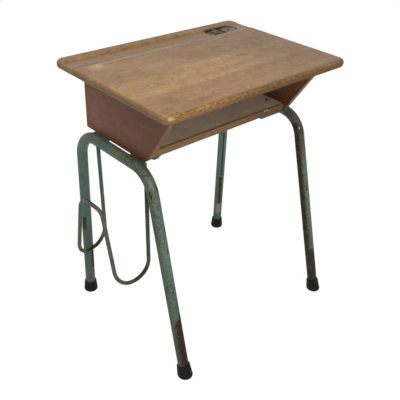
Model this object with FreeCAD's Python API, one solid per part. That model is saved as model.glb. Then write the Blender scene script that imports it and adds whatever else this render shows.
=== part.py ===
"""Single school desk for one pupil.

A fixed wooden top lies on an open plywood book case. Two bent steel tube frames carry the case,
each through two joggled plates that are bolted to the shelf. A bent-rod satchel rack is welded to
the left frame, and a recessed inkwell with a sliding cover lies in the pen groove of the top.

Millimetres. +X is the pupil's right, +Y points away from the pupil and +Z is up. The pieces are
drawn with x = 0 and y = 0 under the middle of the top and the floor at z = 0. The finished desk is
then moved so that its origin is the middle of its whole footprint, on the floor.
"""
import FreeCAD, Part
import math
import os

Vector = FreeCAD.Vector
X_AXIS = Vector(1, 0, 0)
Y_AXIS = Vector(0, 1, 0)
Z_AXIS = Vector(0, 0, 1)

# Wooden top
top_width = 594.0
top_depth = 426.0
top_height = 717.0
top_thickness = 22.0
top_corner_radius = 21.0
top_arris_radius = 9.5

# Pen groove, open at both ends, its front edge worn to a slope
groove_rear_strip = 34.5
groove_width = 51.0
groove_depth = 4.0
groove_cove_radius = 3.0
groove_front_step = 1.5
groove_front_slope = 12.0

# Book case of side panels, shelf and back
case_side_overhang = 51.0
case_rear_overhang = 49.0
panel_thickness = 16.0
panel_bottom_z = 542.0
panel_front_overhang = 35.5
panel_front_rake = 98.5
panel_toe_radius = 24.0
shelf_thickness = 18.0
shelf_rise = 6.0
shelf_front_setback = 96.5
shelf_arris_radius = 1.5
housing_depth = 5.0
back_thickness = 4.0

# Battens that hold the top down
batten_size = 18.0
batten_front_setback = 28.0
batten_inkwell_gap = 10.0

# Bent tube leg frames
tube_diameter = 28.0
tube_wall = 1.5
tube_bend_radius = 70.0
frame_panel_gap = 0.5
frame_axis_drop = 9.0
front_leg_lead = 31.5
front_leg_splay = 149.5
rear_leg_lag = 8.0
rear_leg_splay = 4.0
leg_outward_lean = 3.5

# Rubber feet
foot_height = 34.5
foot_top_diameter = 34.0
foot_bottom_diameter = 41.0
foot_sole = 9.0
foot_sole_radius = 5.0
foot_lip_radius = 1.2

# Joggled fixing plates, turned down beside the tube and notched under the side panel
plate_width = 60.0
plate_thickness = 5.0
plate_reach = 103.0
plate_cut_start = 33.0
plate_cut_depth = 36.0
plate_panel_gap = 1.0
plate_tube_bite = 6.0
plate_flange_inset = 1.5
plate_flange_depth = 16.0
plate_notch_depth = 14.0
plate_rear_setback = 97.0

# Bolts, washers and nuts of the plates
bolt_inset = 18.0
bolt_offset_y = 12.5
bolt_diameter = 6.0
bolt_head_diameter = 14.0
bolt_head_height = 3.6
bolt_tail = 3.0
bolt_hole_clearance = 0.3
washer_diameter = 14.0
washer_thickness = 1.2
nut_across_flats = 10.0
nut_height = 5.0

# Wood screws and nails
screw_diameter = 4.0
screw_head_diameter = 8.0
screw_head_height = 2.2
batten_screw_length = 30.0
panel_screw_length = 28.0
screws_per_batten = 3
screw_end_margin = 30.0
panel_screw_shift = 15.0
nail_diameter = 2.0
nail_head_diameter = 5.0
nail_head_height = 0.8
nail_length = 20.0
nails_per_side = 4
nails_per_shelf = 4
nails_per_batten = 3
nail_end_margin = 12.0

# Satchel rack, one bent rod
rod_diameter = 10.0
rack_front_reach = 96.0
rack_rear_reach = 100.0
rack_axis_z = 241.0
rack_hump_z = 440.0
rack_front_setback = 13.0
rack_front_lean = 9.0
rack_rear_setback = 75.5
rack_rear_lean = 13.5
rack_rear_sweep = 23.0
rack_hump_front_slope = 53.0
rack_hump_rear_slope = 26.5
rack_bend_radius = 46.0
rack_hump_front_radius = 22.0
rack_hump_rear_radius = 38.0

# Inkwell: tray against the groove's rear wall, cup short of the back, and sliding cover
cup_batten_gap = 23.5
cover_travel = 58.0
tray_radius = 25.0
tray_wall_gap = 0.5
tray_sheet = 1.0
tray_lip = 2.5
tray_lip_length = 50.0
tray_lip_thickness = 0.9
tray_fit = 0.15
cup_radius = 13.5
cup_flange_width = 2.0
cup_flange_thickness = 1.0
cup_wall = 1.3
cup_depth = 30.0
cup_floor = 2.0
cup_hole_radius = 12.5
cup_fit = 0.3
cup_back_gap = 0.5
cover_thickness = 1.5
cover_running_gap = 0.3
knob_diameter = 9.0
knob_height = 2.8
knob_shank_diameter = 4.0
knob_round = 1.2
tray_screw_diameter = 2.6
tray_screw_head_diameter = 5.4
tray_screw_head_height = 0.9
tray_screw_length = 9.0

# Levels and faces that several pieces share
top_underside_z = top_height - top_thickness
groove_floor_z = top_height - groove_depth
panel_x = top_width / 2 - case_side_overhang
panel_inner_x = panel_x - panel_thickness
case_rear_y = top_depth / 2 - case_rear_overhang
panel_rear_y = case_rear_y - back_thickness
panel_front_top_y = -top_depth / 2 + panel_front_overhang
panel_front_bottom_y = panel_front_top_y + panel_front_rake
shelf_bottom_z = panel_bottom_z + shelf_rise
shelf_top_z = shelf_bottom_z + shelf_thickness
shelf_front_y = panel_front_top_y + shelf_front_setback
batten_bottom_z = top_underside_z - batten_size
batten_inner_x = panel_inner_x - batten_size
batten_front_y = panel_front_top_y + batten_front_setback
tube_radius = tube_diameter / 2
frame_x = panel_x + frame_panel_gap + tube_radius
frame_axis_z = panel_bottom_z - frame_axis_drop
front_leg_top_y = panel_front_bottom_y - front_leg_lead
front_foot_y = front_leg_top_y - front_leg_splay
rear_leg_top_y = case_rear_y + rear_leg_lag
rear_foot_y = rear_leg_top_y + rear_leg_splay
rack_front_top_y = front_leg_top_y + rack_front_setback
rack_front_y = rack_front_top_y - rack_front_lean
rack_rear_top_y = rear_leg_top_y - rack_rear_setback
rack_rear_y = rack_rear_top_y - rack_rear_lean
rack_rear_outer_y = rack_rear_y - rack_rear_sweep
rack_hump_front_y = rack_front_y + rack_hump_front_slope
rack_hump_rear_y = rack_rear_outer_y - rack_hump_rear_slope
plate_rear_front_y = case_rear_y - plate_rear_setback
plate_top_z = shelf_bottom_z
plate_end_x = panel_x - plate_reach
bolt_x = panel_inner_x - bolt_inset
groove_rear_y = top_depth / 2 - groove_rear_strip
recess_y = groove_rear_y - tray_wall_gap - tray_radius
tray_inner_depth = 2 * cover_running_gap + cover_thickness + tray_lip_thickness
tray_floor_z = groove_floor_z - tray_inner_depth
tray_bottom_z = tray_floor_z - tray_sheet
tray_inner_radius = tray_radius - tray_sheet
cup_x = batten_inner_x - cup_batten_gap - cup_radius
cup_y = panel_rear_y - cup_back_gap - cup_radius
recess_x = cup_x + cover_travel / 2
cover_x = recess_x + cover_travel / 2
cover_radius = tray_inner_radius - cover_running_gap
cup_flange_radius = cup_radius + cup_flange_width


def box(low, high):
    """Block between two opposite corners."""
    size = high.sub(low)
    return Part.makeBox(size.x, size.y, size.z, low)


def mirrored(shape):
    """The same shape on the other side of the desk's middle plane."""
    return shape.mirror(Vector(0, 0, 0), X_AXIS)


def joined(shapes):
    """One compound that keeps its pieces separate."""
    return Part.makeCompound(shapes)


def largest_solid(shape):
    """The main solid that a cut leaves."""
    return max(shape.Solids, key=lambda solid: solid.Volume)


def edges_at_height(shape, z):
    """Edges that lie flat at height z."""
    return [edge for edge in shape.Edges
            if abs(edge.BoundBox.ZMin - z) < 1e-4 and abs(edge.BoundBox.ZMax - z) < 1e-4]


def spread(first, last, count):
    """Evenly spaced values from first to last."""
    return [first + (last - first) * index / (count - 1) for index in range(count)]


def point_towards(start, end, distance):
    """Point on the line from start to end, at a distance from start."""
    return start + (end - start).normalize() * distance


def rounded_path(points, radii):
    """Wire of straight runs through the points, with a tangent arc at each inner point."""
    edges = []
    start = points[0]
    for before, corner, after, radius in zip(points, points[1:], points[2:], radii):
        towards_before = (before - corner).normalize()
        towards_after = (after - corner).normalize()
        half_angle = towards_before.getAngle(towards_after) / 2
        tangent = radius / math.tan(half_angle)
        arc_start = corner + towards_before * tangent
        arc_end = corner + towards_after * tangent
        inward = (towards_before + towards_after).normalize()
        arc_middle = corner + inward * (radius / math.sin(half_angle) - radius)
        edges.append(Part.LineSegment(start, arc_start).toShape())
        edges.append(Part.Arc(arc_start, arc_middle, arc_end).toShape())
        start = arc_end
    edges.append(Part.LineSegment(start, points[-1]).toShape())
    return Part.Wire(edges)


def round_bar(path, radius):
    """Solid round bar along a path."""
    start = path.OrderedVertexes[0].Point
    direction = path.OrderedEdges[0].tangentAt(path.OrderedEdges[0].FirstParameter)
    section = Part.Wire(Part.makeCircle(radius, start, direction))
    return path.makePipeShell([section], True, False)


def stadium(centre_x, centre_y, run, radius, z, height):
    """Upright block with straight sides along X and round ends."""
    left = centre_x - run / 2
    right = centre_x + run / 2
    front = centre_y - radius
    rear = centre_y + radius
    wire = Part.Wire([
        Part.LineSegment(Vector(left, front, z), Vector(right, front, z)).toShape(),
        Part.Arc(Vector(right, front, z), Vector(right + radius, centre_y, z),
                 Vector(right, rear, z)).toShape(),
        Part.LineSegment(Vector(right, rear, z), Vector(left, rear, z)).toShape(),
        Part.Arc(Vector(left, rear, z), Vector(left - radius, centre_y, z),
                 Vector(left, front, z)).toShape(),
    ])
    return Part.Face(wire).extrude(Vector(0, 0, height))


def countersunk_screw(head_point, direction, diameter, head_diameter, head_height, length):
    """Countersunk screw with its flat head face at head_point."""
    head = Part.makeCone(head_diameter / 2, diameter / 2, head_height, head_point, direction)
    shank = Part.makeCylinder(diameter / 2, length, head_point, direction)
    return head.fuse(shank).removeSplitter()


def batten_screws():
    """Screws up through the battens into the top, and sideways into the side panels."""
    screws = []
    batten_middle_x = panel_inner_x - batten_size / 2
    batten_middle_z = top_underside_z - batten_size / 2
    first_y = batten_front_y + screw_end_margin
    last_y = panel_rear_y - batten_size - screw_end_margin
    for side in (-1, 1):
        for y in spread(first_y, last_y, screws_per_batten):
            screws.append(countersunk_screw(
                Vector(side * batten_middle_x, y, batten_bottom_z), Z_AXIS, screw_diameter,
                screw_head_diameter, screw_head_height, batten_screw_length))
            screws.append(countersunk_screw(
                Vector(side * batten_inner_x, y + panel_screw_shift, batten_middle_z), X_AXIS * side,
                screw_diameter, screw_head_diameter, screw_head_height, panel_screw_length))
    left_x = -batten_inner_x + screw_end_margin
    right_x = rear_batten_end_x() - screw_end_margin
    for x in spread(left_x, right_x, screws_per_batten):
        screws.append(countersunk_screw(
            Vector(x, panel_rear_y - batten_size / 2, batten_bottom_z), Z_AXIS, screw_diameter,
            screw_head_diameter, screw_head_height, batten_screw_length))
    return joined(screws)


def rear_batten_end_x():
    """Right end of the rear batten, short of the inkwell cup."""
    return cup_x - cup_radius - batten_inkwell_gap


def side_batten():
    """Batten on the inner face of the right side panel."""
    return box(Vector(batten_inner_x, batten_front_y, batten_bottom_z),
               Vector(panel_inner_x, panel_rear_y, top_underside_z))


def rear_batten():
    """Batten along the back, between the left batten and the inkwell."""
    return box(Vector(-batten_inner_x, panel_rear_y - batten_size, batten_bottom_z),
               Vector(rear_batten_end_x(), panel_rear_y, top_underside_z))


def tray_screws():
    """Two small screws at the ends of the inkwell tray."""
    offset = cover_travel / 2 + (cup_flange_radius + tray_inner_radius) / 2 - cup_fit
    screws = []
    for x in (recess_x - offset, recess_x + offset):
        screws.append(countersunk_screw(
            Vector(x, recess_y, tray_floor_z), -Z_AXIS, tray_screw_diameter,
            tray_screw_head_diameter, tray_screw_head_height, tray_screw_length))
    return joined(screws)


def groove_cutter():
    """Pen groove past both ends of the top: coved rear wall, flat floor, low step and sloped front."""
    front_y = groove_rear_y - groove_width
    slope_y = front_y - groove_front_slope
    above_z = top_height + 1.0
    cove_start = Vector(0, groove_rear_y - groove_cove_radius, groove_floor_z)
    cove_end = Vector(0, groove_rear_y, groove_floor_z + groove_cove_radius)
    cove_middle = Vector(0, groove_rear_y - groove_cove_radius * (1 - math.sin(math.pi / 4)),
                         groove_floor_z + groove_cove_radius * (1 - math.cos(math.pi / 4)))
    corners = [cove_end, Vector(0, groove_rear_y, above_z), Vector(0, slope_y, above_z),
               Vector(0, slope_y, top_height), Vector(0, front_y, groove_floor_z + groove_front_step),
               Vector(0, front_y, groove_floor_z), cove_start]
    sides = [Part.LineSegment(start, end).toShape() for start, end in zip(corners, corners[1:])]
    wire = Part.Wire(sides + [Part.Arc(cove_start, cove_middle, cove_end).toShape()])
    profile = Part.Face(wire)
    profile.translate(Vector(-top_width, 0, 0))
    return profile.extrude(Vector(2 * top_width, 0, 0))


def desk_top():
    """Wooden top with rounded corners and arrises, pen groove and inkwell recess."""
    half_width = top_width / 2
    half_depth = top_depth / 2
    top = box(Vector(-half_width, -half_depth, top_underside_z), Vector(half_width, half_depth, top_height))
    upright = [edge for edge in top.Edges if edge.BoundBox.ZLength > top_thickness / 2]
    top = top.makeFillet(top_corner_radius, upright)
    rims = edges_at_height(top, top_height) + edges_at_height(top, top_underside_z)
    top = top.makeFillet(top_arris_radius, rims)
    tray_seat = stadium(recess_x, recess_y, cover_travel, tray_radius + tray_fit, tray_bottom_z,
                        top_height - tray_bottom_z + 1.0)
    flange_seat = Part.makeCylinder(cup_flange_radius + tray_fit, cup_flange_thickness,
                                    Vector(cup_x, cup_y, tray_bottom_z - cup_flange_thickness))
    cup_hole = Part.makeCylinder(cup_radius + cup_fit, top_thickness,
                                 Vector(cup_x, cup_y, top_underside_z - 1.0))
    return top.cut([groove_cutter(), tray_seat, flange_seat, cup_hole, tray_screws(), batten_screws()])


def side_panel():
    """Right side panel: raked front edge, rounded toe, and a stopped housing for the shelf."""
    outline = Part.makePolygon([
        Vector(panel_inner_x, panel_rear_y, panel_bottom_z),
        Vector(panel_inner_x, panel_rear_y, top_underside_z),
        Vector(panel_inner_x, panel_front_top_y, top_underside_z),
        Vector(panel_inner_x, panel_front_bottom_y, panel_bottom_z),
        Vector(panel_inner_x, panel_rear_y, panel_bottom_z),
    ])
    panel = Part.Face(outline).extrude(X_AXIS * panel_thickness)
    toe = [edge for edge in panel.Edges
           if edge.BoundBox.XLength > panel_thickness / 2
           and abs(edge.CenterOfMass.y - panel_front_bottom_y) < 1e-4]
    panel = panel.makeFillet(panel_toe_radius, toe)
    housing = box(Vector(panel_inner_x, shelf_front_y, shelf_bottom_z),
                  Vector(panel_inner_x + housing_depth, panel_rear_y, shelf_top_z))
    return panel.cut(housing)


def shelf_panel():
    """Bottom of the book case, let into both side panels and drilled for the plate bolts."""
    reach = panel_inner_x + housing_depth
    shelf = box(Vector(-reach, shelf_front_y, shelf_bottom_z), Vector(reach, panel_rear_y, shelf_top_z))
    front_edges = [edge for edge in shelf.Edges
                   if edge.BoundBox.XLength > reach and abs(edge.CenterOfMass.y - shelf_front_y) < 1e-4]
    shelf = shelf.makeFillet(shelf_arris_radius, front_edges)
    return shelf.cut(bolt_holes())


def back_panel():
    """Thin back, nailed on the rear edges of the side panels, the shelf and the rear batten."""
    return box(Vector(-panel_x, panel_rear_y, panel_bottom_z), Vector(panel_x, case_rear_y, top_underside_z))


def back_nails():
    """Flat-headed nails round the edge of the back."""
    middle_x = panel_x - panel_thickness / 2
    shelf_z = (shelf_bottom_z + shelf_top_z) / 2
    batten_z = top_underside_z - batten_size / 2
    batten_end_x = rear_batten_end_x() - nail_end_margin
    places = [(side * middle_x, z) for side in (-1, 1)
              for z in spread(shelf_z, batten_z, nails_per_side)]
    places += [(x, shelf_z) for x in spread(-middle_x, middle_x, nails_per_shelf + 2)[1:-1]]
    places += [(x, batten_z) for x in spread(-middle_x, batten_end_x, nails_per_batten + 1)[1:]]
    nails = []
    for x, z in places:
        head = Part.makeCylinder(nail_head_diameter / 2, nail_head_height, Vector(x, case_rear_y, z), Y_AXIS)
        shank = Part.makeCylinder(nail_diameter / 2, nail_length, Vector(x, case_rear_y, z), -Y_AXIS)
        nails.append(head.fuse(shank).removeSplitter())
    return joined(nails)


def leg_points(foot_y, leg_top_y):
    """Floor point and upper corner of a right-hand leg's axis."""
    return Vector(frame_x + leg_outward_lean, foot_y, 0), Vector(frame_x, leg_top_y, frame_axis_z)


def frame_path():
    """Axis of the right leg frame, from the front foot over the top run to the rear foot."""
    front_floor, front_corner = leg_points(front_foot_y, front_leg_top_y)
    rear_floor, rear_corner = leg_points(rear_foot_y, rear_leg_top_y)
    points = [point_towards(front_floor, front_corner, foot_sole), front_corner,
              rear_corner, point_towards(rear_floor, rear_corner, foot_sole)]
    return rounded_path(points, [tube_bend_radius, tube_bend_radius])


def leg_frame():
    """Right leg frame, one bent tube."""
    path = frame_path()
    return round_bar(path, tube_radius).cut(round_bar(path, tube_radius - tube_wall))


def rubber_foot(foot_y, leg_top_y):
    """Tapered rubber ferrule on a right-hand leg, with a flat sole on the floor."""
    floor_point, corner = leg_points(foot_y, leg_top_y)
    axis = (corner - floor_point).normalize()
    taper = (foot_bottom_diameter - foot_top_diameter) / 2 / foot_height
    sunk = foot_bottom_diameter / 2
    base = floor_point - axis * sunk
    foot = Part.makeCone(foot_bottom_diameter / 2 + taper * sunk, foot_top_diameter / 2,
                         foot_height + sunk, base, axis)
    below_floor = box(Vector(floor_point.x, floor_point.y, 0) - Vector(1, 1, 1) * 4 * foot_bottom_diameter,
                      Vector(floor_point.x, floor_point.y, 0) + Vector(1, 1, 0) * 4 * foot_bottom_diameter)
    foot = foot.cut(below_floor)
    foot = foot.makeFillet(foot_sole_radius, edges_at_height(foot, 0))
    rim_centre = floor_point + axis * foot_height
    rim = [edge for edge in foot.Edges if edge.CenterOfMass.distanceToPoint(rim_centre) < 1e-3]
    foot = foot.makeFillet(foot_lip_radius, rim)
    bore = Part.makeCylinder(tube_radius, foot_height, floor_point + axis * foot_sole, axis)
    return foot.cut(bore)


def plate_blank(front_y):
    """Left fixing plate: flange at the tube, joggle under the side panel, cut corner and bolt hole."""
    outer_x = -(frame_x - tube_radius + plate_tube_bite)
    joggle_x = -panel_inner_x + plate_panel_gap
    flat_x = joggle_x + shelf_rise
    flange_x = -panel_x + plate_flange_inset
    low_z = panel_bottom_z
    section = Part.makePolygon([
        Vector(outer_x, front_y, low_z),
        Vector(joggle_x, front_y, low_z),
        Vector(flat_x, front_y, plate_top_z),
        Vector(-plate_end_x, front_y, plate_top_z),
        Vector(-plate_end_x, front_y, plate_top_z - plate_thickness),
        Vector(flat_x, front_y, plate_top_z - plate_thickness),
        Vector(joggle_x, front_y, low_z - plate_thickness),
        Vector(flange_x, front_y, low_z - plate_thickness),
        Vector(flange_x, front_y, low_z - plate_flange_depth),
        Vector(outer_x, front_y, low_z - plate_flange_depth),
        Vector(outer_x, front_y, low_z),
    ])
    plate = Part.Face(section).extrude(Y_AXIS * plate_width)
    cut_x = -panel_x + plate_cut_start
    below_z = low_z - 2 * plate_thickness
    corner = Part.makePolygon([
        Vector(cut_x, front_y - 1.0, below_z),
        Vector(-plate_end_x + 1.0, front_y - 1.0, below_z),
        Vector(-plate_end_x + 1.0, front_y + plate_cut_depth, below_z),
        Vector(cut_x, front_y - 1.0, below_z),
    ])
    corner_cutter = Part.Face(corner).extrude(Z_AXIS * 6 * plate_thickness)
    notch = box(Vector(flange_x, front_y - 1.0, below_z),
                Vector(flat_x, front_y + plate_notch_depth, plate_top_z + 1.0))
    bolt_y = front_y + plate_width / 2 - bolt_offset_y
    hole = Part.makeCylinder(bolt_diameter / 2 + bolt_hole_clearance, 6 * plate_thickness,
                             Vector(-bolt_x, bolt_y, below_z))
    return plate.cut([corner_cutter, notch, hole])


def fixing_plate(side, front_y):
    """Plate coped to its frame's tube. The right one (side 1) is the left one turned half round."""
    plate = plate_blank(front_y)
    tube = round_bar(frame_path(), tube_radius)
    if side > 0:
        plate = plate.rotated(Vector(0, front_y + plate_width / 2, 0), Z_AXIS, 180)
    else:
        tube = mirrored(tube)
    return largest_solid(plate.cut(tube))


def bolt_places():
    """Axis of each plate bolt."""
    places = []
    for front_y in (shelf_front_y, plate_rear_front_y):
        middle_y = front_y + plate_width / 2
        places.append((-bolt_x, middle_y - bolt_offset_y))
        places.append((bolt_x, middle_y + bolt_offset_y))
    return places


def bolt_holes():
    """Clearance holes for the plate bolts."""
    return joined([Part.makeCylinder(bolt_diameter / 2 + bolt_hole_clearance, 2 * shelf_thickness,
                                     Vector(x, y, shelf_bottom_z - shelf_thickness / 2))
                   for x, y in bolt_places()])


def fixing_bolts():
    """Dome-headed bolts, head on the shelf and thread down through the plate."""
    head_radius = bolt_head_diameter / 2
    dome_radius = (head_radius ** 2 + bolt_head_height ** 2) / (2 * bolt_head_height)
    length = shelf_thickness + plate_thickness + washer_thickness + nut_height + bolt_tail
    bolts = []
    for x, y in bolt_places():
        seat = Vector(x, y, shelf_top_z)
        ball = Part.makeSphere(dome_radius, seat + Z_AXIS * (bolt_head_height - dome_radius))
        head = ball.common(Part.makeCylinder(head_radius, bolt_head_height, seat))
        shank = Part.makeCylinder(bolt_diameter / 2, length, seat, -Z_AXIS)
        bolts.append(head.fuse(shank).removeSplitter())
    return joined(bolts)


def fixing_washers():
    """Plain washers under the plates."""
    washer_top = plate_top_z - plate_thickness
    washers = []
    for x, y in bolt_places():
        base = Vector(x, y, washer_top - washer_thickness)
        disc = Part.makeCylinder(washer_diameter / 2, washer_thickness, base)
        hole = Part.makeCylinder(bolt_diameter / 2 + bolt_hole_clearance, washer_thickness, base)
        washers.append(disc.cut(hole))
    return joined(washers)


def fixing_nuts():
    """Hexagon nuts under the washers."""
    nut_top = plate_top_z - plate_thickness - washer_thickness
    corner_radius = nut_across_flats / math.sqrt(3)
    nuts = []
    for x, y in bolt_places():
        corners = [Vector(x + corner_radius * math.cos(math.radians(60 * index)),
                          y + corner_radius * math.sin(math.radians(60 * index)), nut_top - nut_height)
                   for index in range(7)]
        hexagon = Part.Face(Part.makePolygon(corners)).extrude(Z_AXIS * nut_height)
        bore = Part.makeCylinder(bolt_diameter / 2, nut_height, Vector(x, y, nut_top - nut_height))
        nuts.append(hexagon.cut(bore))
    return joined(nuts)


def satchel_rack():
    """Rod of the satchel rack on the left: two U bends joined by a hump, coped to the tube."""
    front_x = -frame_x - rack_front_reach
    rear_x = -frame_x - rack_rear_reach
    points = [
        Vector(-frame_x, rack_front_top_y, frame_axis_z),
        Vector(-frame_x, rack_front_y, rack_axis_z),
        Vector(front_x, rack_front_y, rack_axis_z),
        Vector(front_x, rack_hump_front_y, rack_hump_z),
        Vector(front_x, rack_hump_rear_y, rack_hump_z),
        Vector(rear_x, rack_rear_outer_y, rack_axis_z),
        Vector(-frame_x, rack_rear_y, rack_axis_z),
        Vector(-frame_x, rack_rear_top_y, frame_axis_z),
    ]
    radii = [rack_bend_radius, rack_bend_radius, rack_hump_front_radius,
             rack_hump_rear_radius, rack_bend_radius, rack_bend_radius]
    rod = round_bar(rounded_path(points, radii), rod_diameter / 2)
    tube = mirrored(round_bar(frame_path(), tube_radius))
    return largest_solid(rod.cut(tube))


def inkwell_tray():
    """Pressed stadium tray with two inturned lips that keep the cover down."""
    height = groove_floor_z - tray_bottom_z
    tray = stadium(recess_x, recess_y, cover_travel, tray_radius, tray_bottom_z, height)
    hollow = stadium(recess_x, recess_y, cover_travel, tray_inner_radius, tray_floor_z, height)
    tray = tray.cut(hollow)
    lip_z = groove_floor_z - tray_lip_thickness
    for side in (-1, 1):
        wall_y = recess_y + side * (tray_inner_radius + tray_sheet / 2)
        lip_y = recess_y + side * (tray_inner_radius - tray_lip)
        low = Vector(recess_x - tray_lip_length / 2, min(wall_y, lip_y), lip_z)
        high = Vector(recess_x + tray_lip_length / 2, max(wall_y, lip_y), groove_floor_z)
        tray = tray.fuse(box(low, high))
    hole = Part.makeCylinder(cup_hole_radius, 3 * tray_sheet,
                             Vector(cup_x, cup_y, tray_bottom_z - tray_sheet))
    return tray.cut([hole, tray_screws()]).removeSplitter()


def inkwell_cup():
    """Flanged cup held between the tray and its seat in the top."""
    rim_z = tray_bottom_z
    centre = Vector(cup_x, cup_y, rim_z)
    flange = Part.makeCylinder(cup_flange_radius, cup_flange_thickness, centre, -Z_AXIS)
    body = Part.makeCylinder(cup_radius, cup_depth, centre, -Z_AXIS)
    body = body.makeFillet(cup_wall, edges_at_height(body, rim_z - cup_depth))
    hollow = Part.makeCylinder(cup_radius - cup_wall, cup_depth - cup_floor, centre, -Z_AXIS)
    return flange.fuse(body).removeSplitter().cut(hollow)


def inkwell_cover():
    """Round cover that slides from beside the inkwell to over it."""
    base = Vector(cover_x, recess_y, tray_floor_z + cover_running_gap)
    disc = Part.makeCylinder(cover_radius, cover_thickness, base)
    hole = Part.makeCylinder(knob_shank_diameter / 2, cover_thickness, base)
    return disc.cut(hole)


def cover_knob():
    """Low finger knob riveted to the cover."""
    base = Vector(cover_x, recess_y, tray_floor_z + cover_running_gap)
    seat = base + Z_AXIS * cover_thickness
    head = Part.makeCylinder(knob_diameter / 2, knob_height, seat)
    head = head.makeFillet(knob_round, edges_at_height(head, seat.z + knob_height))
    shank = Part.makeCylinder(knob_shank_diameter / 2, cover_thickness, base)
    return head.fuse(shank).removeSplitter()


def build():
    """Every node by name, as drawn round the middle of the top."""
    panel = side_panel()
    batten = side_batten()
    screws = batten_screws()
    frame = leg_frame()
    front_foot = rubber_foot(front_foot_y, front_leg_top_y)
    rear_foot = rubber_foot(rear_foot_y, rear_leg_top_y)
    nails = back_nails()
    parts = {
        "desk_top": desk_top(),
        "left_side_panel": mirrored(panel).cut([screws, nails]),
        "right_side_panel": panel.cut([screws, nails]),
        "shelf_panel": shelf_panel().cut(nails),
        "back_panel": back_panel().cut(nails),
        "left_batten": mirrored(batten).cut([screws, nails]),
        "right_batten": batten.cut([screws, nails]),
        "rear_batten": rear_batten().cut([screws, nails]),
        "batten_screws": screws,
        "back_nails": nails,
        "left_leg_frame": mirrored(frame),
        "right_leg_frame": frame,
        "left_front_plate": fixing_plate(-1, shelf_front_y),
        "left_rear_plate": fixing_plate(-1, plate_rear_front_y),
        "right_front_plate": fixing_plate(1, shelf_front_y),
        "right_rear_plate": fixing_plate(1, plate_rear_front_y),
        "fixing_bolts": fixing_bolts(),
        "fixing_washers": fixing_washers(),
        "fixing_nuts": fixing_nuts(),
        "left_front_foot": mirrored(front_foot),
        "left_rear_foot": mirrored(rear_foot),
        "right_front_foot": front_foot,
        "right_rear_foot": rear_foot,
        "satchel_rack": satchel_rack(),
        "inkwell_tray": inkwell_tray(),
        "inkwell_cup": inkwell_cup(),
        "inkwell_screws": tray_screws(),
        "inkwell_cover": inkwell_cover(),
        "cover_knob": cover_knob(),
    }
    return parts


def footprint_shift(parts):
    """Move that puts the middle of the desk's footprint at the origin, on the floor."""
    bounds = FreeCAD.BoundBox()
    for shape in parts.values():
        bounds.add(shape.optimalBoundingBox(False))
    return Vector(-bounds.Center.x, -bounds.Center.y, -bounds.ZMin)


def main():
    """Write one STEP file for each node."""
    os.makedirs("parts", exist_ok=True)
    parts = build()
    shift = footprint_shift(parts)
    for name, shape in parts.items():
        shape.translate(shift)
        shape.exportStep(f"parts/{name}.step")


main()
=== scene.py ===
"""Looks of the school desk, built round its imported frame.

Metres, in the frame's own axes: +X is the pupil's right, +Y points away from the pupil, +Z is up.
Places on the desk are given in millimetres from the floor under the middle of the top.
"""
import bpy
import math
from mathutils import Matrix, Vector


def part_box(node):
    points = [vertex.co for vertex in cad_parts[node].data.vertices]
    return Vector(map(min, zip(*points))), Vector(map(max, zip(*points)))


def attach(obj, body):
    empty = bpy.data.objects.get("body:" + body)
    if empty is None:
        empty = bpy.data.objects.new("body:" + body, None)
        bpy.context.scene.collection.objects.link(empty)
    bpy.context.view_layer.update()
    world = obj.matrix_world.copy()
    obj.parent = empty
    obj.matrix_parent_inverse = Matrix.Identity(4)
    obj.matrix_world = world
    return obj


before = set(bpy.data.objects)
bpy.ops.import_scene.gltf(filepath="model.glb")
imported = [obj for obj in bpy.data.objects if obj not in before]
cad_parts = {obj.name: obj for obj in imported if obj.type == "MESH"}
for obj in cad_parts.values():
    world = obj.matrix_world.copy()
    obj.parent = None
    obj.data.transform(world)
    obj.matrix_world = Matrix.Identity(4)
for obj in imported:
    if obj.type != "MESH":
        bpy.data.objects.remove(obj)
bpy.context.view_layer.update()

# ---------------------------------------------------------------- places taken from the frame

TOP_LOW, TOP_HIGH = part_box("desk_top")
PLAN_MIDDLE = Vector(((TOP_LOW.x + TOP_HIGH.x) / 2, (TOP_LOW.y + TOP_HIGH.y) / 2, 0))
SHELF_LOW, SHELF_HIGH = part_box("shelf_panel")
TRAY_LOW, TRAY_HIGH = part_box("inkwell_tray")
TRAY_REACH = (TRAY_HIGH.y - TRAY_LOW.y) / 2
# Middles of the tray's two round ends
TRAY_LINE = (Vector((TRAY_LOW.x + TRAY_REACH, TRAY_HIGH.y - TRAY_REACH, TRAY_HIGH.z)),
             Vector((TRAY_HIGH.x - TRAY_REACH, TRAY_HIGH.y - TRAY_REACH, TRAY_HIGH.z)))

# Pen groove: the strip of the top behind it, its width and its worn front slope
REAR_STRIP = 0.0345
GROOVE_WIDTH = 0.051
GROOVE_SLOPE = 0.012
GROOVE_REAR = TOP_HIGH.y - REAR_STRIP
GROOVE_FRONT = GROOVE_REAR - GROOVE_WIDTH

# Heights in millimetres
TOP_Z = TOP_HIGH.z * 1000
TRAY_Z = TRAY_HIGH.z * 1000

# Camera fitted to the photograph: place, lens and sensor in millimetres, range in metres
CAMERA_PLACE = (-960.7, -1009.2, 1199.2)
CAMERA_YAW = math.radians(-43.815)
CAMERA_PITCH = math.radians(-32.769)
CAMERA_ROLL = math.radians(2.833)
CAMERA_LENS = 52.39
CAMERA_SENSOR = 36
CAMERA_RANGE = 50


def at(x, y, z):
    """Frame place of a point given in millimetres from the floor under the middle of the top."""
    return PLAN_MIDDLE + Vector((x, y, z)) / 1000


def colour(red, green, blue):
    """Linear colour of an 8-bit display colour."""
    def linear(value):
        value /= 255
        return value / 12.92 if value <= 0.04045 else ((value + 0.055) / 1.055) ** 2.4
    return (linear(red), linear(green), linear(blue), 1.0)


# Colour sockets of Blender's Mix node: factor, first and second colour, and the result
MIX_FACTOR, MIX_FIRST, MIX_SECOND = 0, 6, 7
MIX_RESULT = 2


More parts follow.
